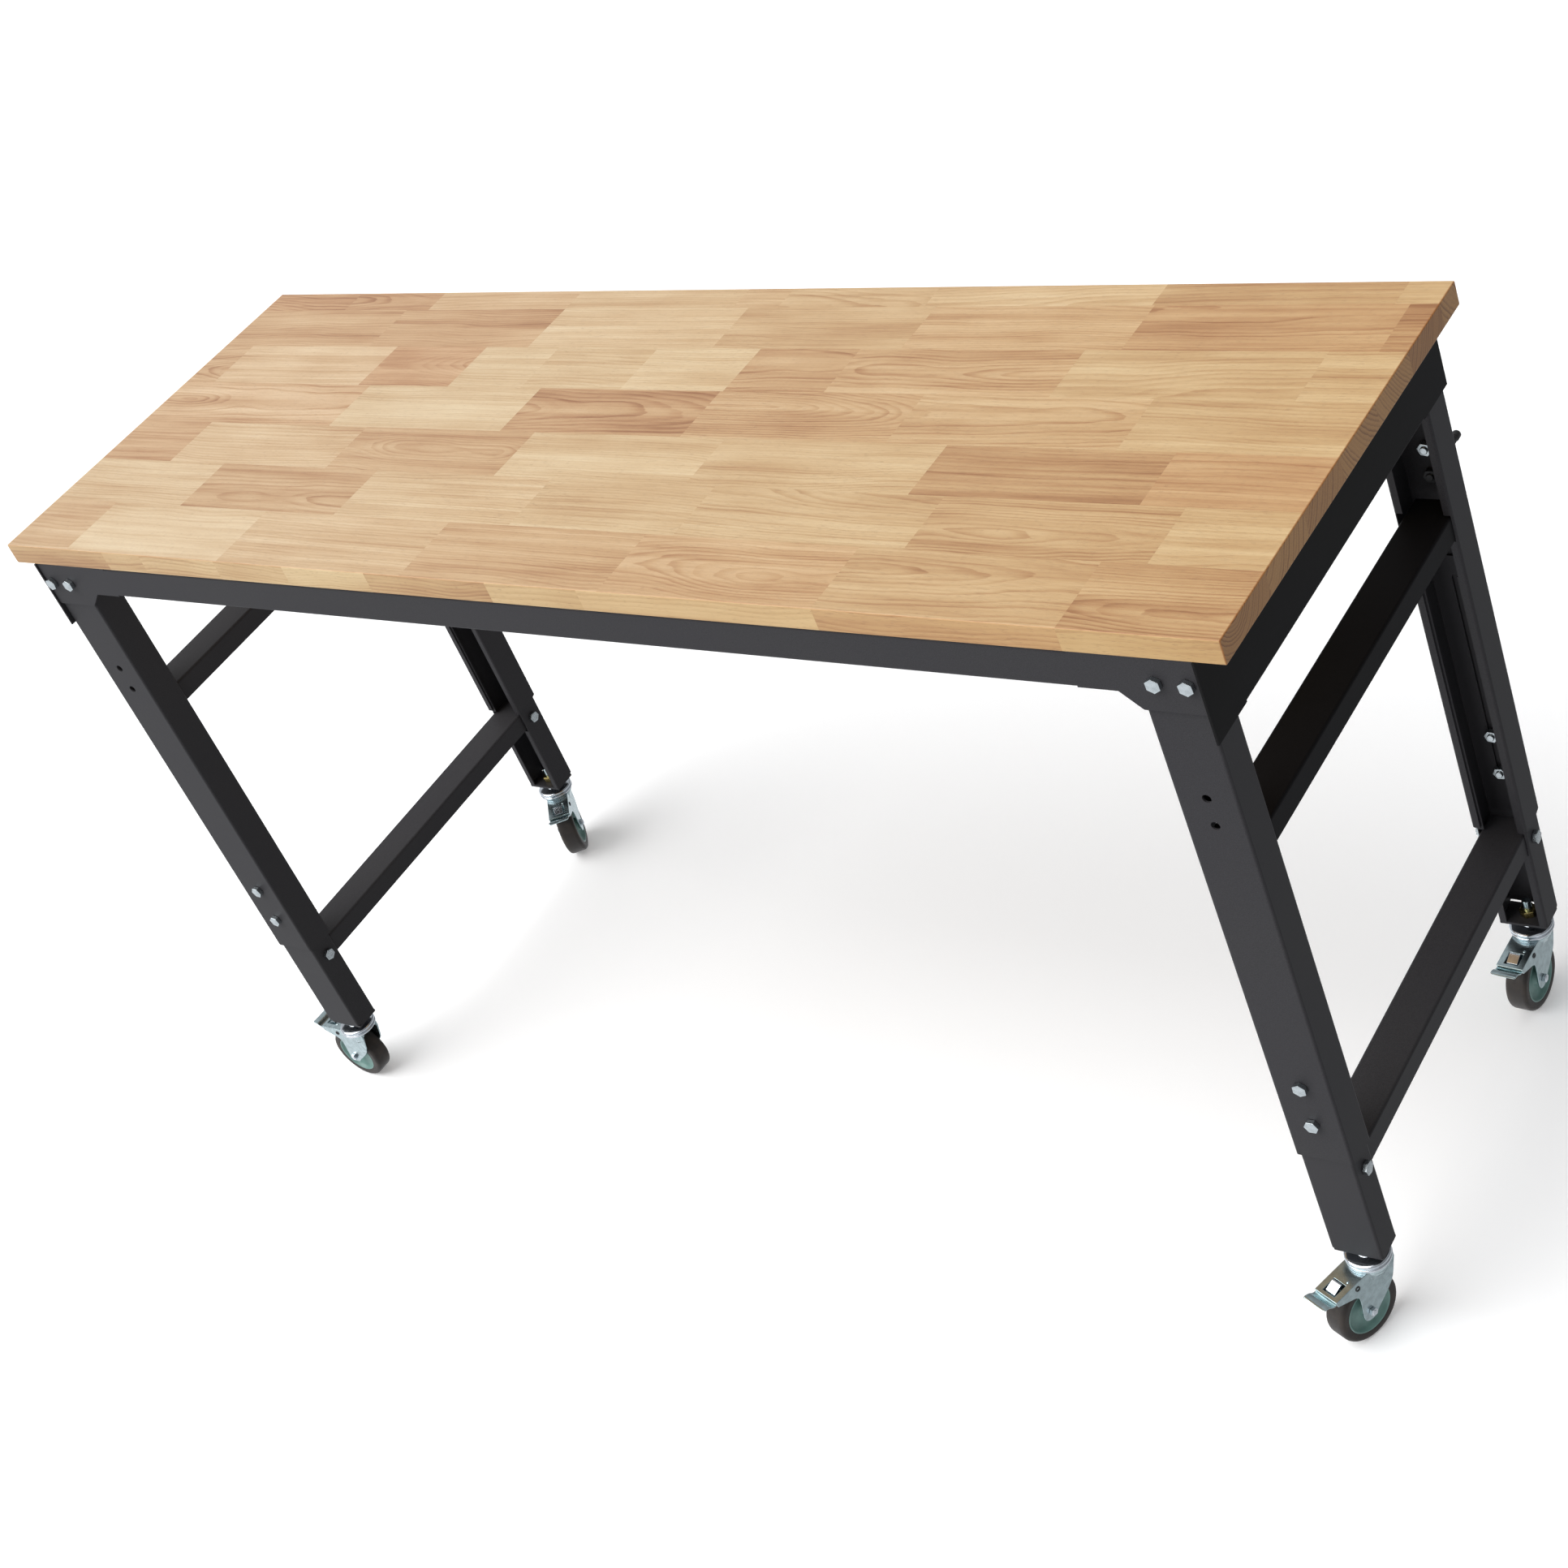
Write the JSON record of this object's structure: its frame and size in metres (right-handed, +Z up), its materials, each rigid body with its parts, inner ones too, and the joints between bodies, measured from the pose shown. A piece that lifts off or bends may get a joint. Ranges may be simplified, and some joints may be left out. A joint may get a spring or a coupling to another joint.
{
  "type": "mobile work platform bench",
  "caption": "Long butcher-block work platform on a bolted charcoal steel frame, with telescoping channel legs for height and braked swivel casters.",
  "frame": {"origin": "on the floor under the middle of the worktop", "axes": "+X along the bench towards its right end, -Y towards the front, +Z up out of the work surface"},
  "size_m": [1.5417, 0.6248, 0.88],
  "materials": {
    "worktop_wood": "satin clear coat over glued rubberwood staves",
    "powder_coat": "fine-textured charcoal powder coat",
    "zinc_hardware": "bright zinc plate",
    "caster_steel": "blue-white zinc plate",
    "black_steel": "black oxide, satin",
    "wheel_rubber": "dark rubber tread on a grey moulded core"
  },
  "bodies": {
    "bench_frame": {"worktop": "worktop_wood", "front_rail": "powder_coat", "rear_rail": "powder_coat", "side_rail_left": "powder_coat", "side_rail_right": "powder_coat", "upper_leg_front_left": "powder_coat", "upper_leg_front_right": "powder_coat", "upper_leg_rear_left": "powder_coat", "upper_leg_rear_right": "powder_coat", "mid_crossbar_left": "powder_coat", "mid_crossbar_right": "powder_coat", "rail_bolt_front_left_inner": "zinc_hardware", "rail_bolt_front_left_outer": "zinc_hardware", "rail_bolt_front_right_inner": "zinc_hardware", "rail_bolt_front_right_outer": "zinc_hardware", "rail_bolt_rear_left_inner": "zinc_hardware", "rail_bolt_rear_left_outer": "zinc_hardware", "rail_bolt_rear_right_inner": "zinc_hardware", "rail_bolt_rear_right_outer": "zinc_hardware", "height_bolt_front_left_upper": "zinc_hardware", "height_bolt_front_left_lower": "zinc_hardware", "height_bolt_front_right_upper": "zinc_hardware", "height_bolt_front_right_lower": "zinc_hardware", "height_bolt_rear_left_upper": "zinc_hardware", "height_bolt_rear_left_lower": "zinc_hardware", "height_bolt_rear_right_upper": "zinc_hardware", "height_bolt_rear_right_lower": "zinc_hardware", "rear_peg_left": "black_steel", "rear_peg_right": "black_steel"},
    "left_lower_frame": {"lower_leg_front_left": "powder_coat", "lower_leg_rear_left": "powder_coat", "lower_crossbar_left": "powder_coat", "crossbar_bolt_front_left": "zinc_hardware", "crossbar_bolt_rear_left": "zinc_hardware", "caster_stem_front_left": "caster_steel", "caster_stem_rear_left": "caster_steel"},
    "right_lower_frame": {"lower_leg_front_right": "powder_coat", "lower_leg_rear_right": "powder_coat", "lower_crossbar_right": "powder_coat", "crossbar_bolt_front_right": "zinc_hardware", "crossbar_bolt_rear_right": "zinc_hardware", "caster_stem_front_right": "caster_steel", "caster_stem_rear_right": "caster_steel"},
    "swivel_front_left": {"caster_fork_front_left": "caster_steel", "wheel_axle_front_left": "caster_steel"},
    "wheel_front_left": {"caster_wheel_front_left": "wheel_rubber"},
    "pedal_front_left": {"brake_pedal_front_left": "caster_steel"},
    "swivel_front_right": {"caster_fork_front_right": "caster_steel", "wheel_axle_front_right": "caster_steel"},
    "wheel_front_right": {"caster_wheel_front_right": "wheel_rubber"},
    "pedal_front_right": {"brake_pedal_front_right": "caster_steel"},
    "swivel_rear_left": {"caster_fork_rear_left": "caster_steel", "wheel_axle_rear_left": "caster_steel"},
    "wheel_rear_left": {"caster_wheel_rear_left": "wheel_rubber"},
    "pedal_rear_left": {"brake_pedal_rear_left": "caster_steel"},
    "swivel_rear_right": {"caster_fork_rear_right": "caster_steel", "wheel_axle_rear_right": "caster_steel"},
    "wheel_rear_right": {"caster_wheel_rear_right": "wheel_rubber"},
    "pedal_rear_right": {"brake_pedal_rear_right": "caster_steel"}
  },
  "joints": [
    {"name": "height_slide_left", "type": "slide", "parent": "bench_frame", "child": "left_lower_frame", "axis": [0, 0, -1], "range_m": [0, 0.2]},
    {"name": "height_slide_right", "type": "slide", "parent": "bench_frame", "child": "right_lower_frame", "axis": [0, 0, -1], "range_m": [0, 0.2]},
    {"name": "caster_swivel_front_left", "type": "hinge", "parent": "left_lower_frame", "child": "swivel_front_left", "pos_m": [-0.7015, -0.231, 0.0885], "axis": [0, 0, 1], "continuous": true},
    {"name": "wheel_spin_front_left", "type": "hinge", "parent": "swivel_front_left", "child": "wheel_front_left", "pos_m": [-0.72647, -0.22969, 0.03782], "axis": [-0.0523, -0.9986, 0], "continuous": true},
    {"name": "brake_press_front_left", "type": "hinge", "parent": "swivel_front_left", "child": "pedal_front_left", "pos_m": [-0.73445, -0.22927, 0.079], "axis": [-0.0523, -0.9986, 0], "range_deg": [0, 10]},
    {"name": "caster_swivel_front_right", "type": "hinge", "parent": "right_lower_frame", "child": "swivel_front_right", "pos_m": [0.7015, -0.231, 0.0885], "axis": [0, 0, 1], "continuous": true},
    {"name": "wheel_spin_front_right", "type": "hinge", "parent": "swivel_front_right", "child": "wheel_front_right", "pos_m": [0.69213, -0.25418, 0.03782], "axis": [0.9272, -0.3746, 0], "continuous": true},
    {"name": "brake_press_front_right", "type": "hinge", "parent": "swivel_front_right", "child": "pedal_front_right", "pos_m": [0.68914, -0.2616, 0.079], "axis": [0.9272, -0.3746, 0], "range_deg": [0, 10]},
    {"name": "caster_swivel_rear_left", "type": "hinge", "parent": "left_lower_frame", "child": "swivel_rear_left", "pos_m": [-0.7015, 0.231, 0.0885], "axis": [0, 0, 1], "continuous": true},
    {"name": "wheel_spin_rear_left", "type": "hinge", "parent": "swivel_rear_left", "child": "wheel_rear_left", "pos_m": [-0.68577, 0.21157, 0.03782], "axis": [0.7771, 0.6293, 0], "continuous": true},
    {"name": "brake_press_rear_left", "type": "hinge", "parent": "swivel_rear_left", "child": "pedal_rear_left", "pos_m": [-0.68073, 0.20535, 0.079], "axis": [0.7771, 0.6293, 0], "range_deg": [0, 10]},
    {"name": "caster_swivel_rear_right", "type": "hinge", "parent": "right_lower_frame", "child": "swivel_rear_right", "pos_m": [0.7015, 0.231, 0.0885], "axis": [0, 0, 1], "continuous": true},
    {"name": "wheel_spin_rear_right", "type": "hinge", "parent": "swivel_rear_right", "child": "wheel_rear_right", "pos_m": [0.69976, 0.20606, 0.03782], "axis": [0.9976, -0.0698, 0], "continuous": true},
    {"name": "brake_press_rear_right", "type": "hinge", "parent": "swivel_rear_right", "child": "pedal_rear_right", "pos_m": [0.6992, 0.19808, 0.079], "axis": [0.9976, -0.0698, 0], "range_deg": [0, 10]}
  ],
  "couplings": [
    {"joint": "height_slide_right", "follows": "height_slide_left", "ratio": 1}
  ]
}
